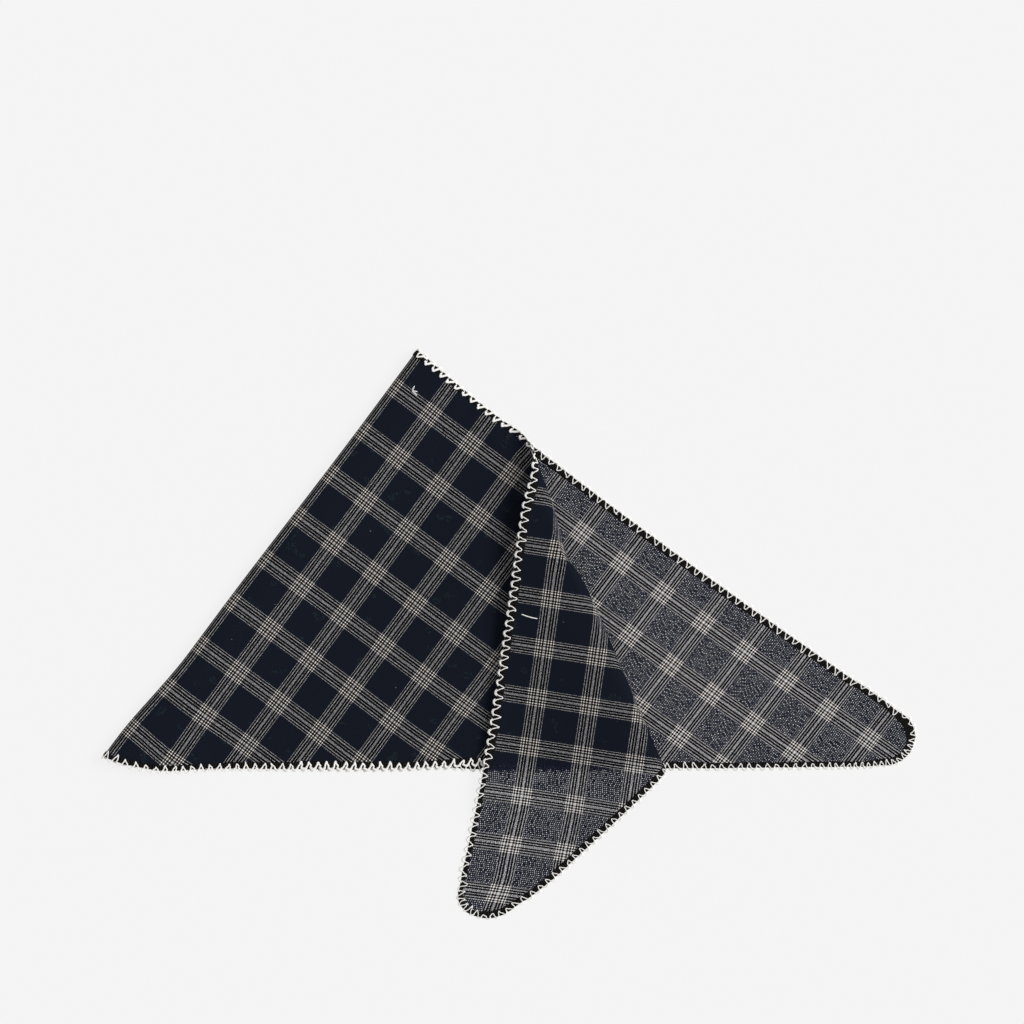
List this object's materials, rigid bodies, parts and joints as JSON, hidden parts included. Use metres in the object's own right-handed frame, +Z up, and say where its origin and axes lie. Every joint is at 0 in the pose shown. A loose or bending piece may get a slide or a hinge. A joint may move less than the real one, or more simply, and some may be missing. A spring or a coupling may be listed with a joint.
{
  "type": "triangle scarf",
  "caption": "Triangular neck or head scarf of thin checked cotton with a scalloped yarn edging, lying folded with a side corner turned back over the fold.",
  "frame": {"origin": "middle of the folded scarf's outline, on the surface it lies on", "axes": "+X along the folded scarf's longest side, towards its pointed open end; +Y towards the peak of the fold; +Z up from the surface"},
  "size_m": [0.6469, 0.4583, 0.0224],
  "materials": {
    "checked_cotton": "matte, thin and a little see-through, dark navy with a cream check",
    "edging_yarn": "matte cream twisted yarn"
  },
  "bodies": {
    "root": {"scarf_cloth": "checked_cotton", "yarn_edging": "edging_yarn"}
  },
  "joints": []
}
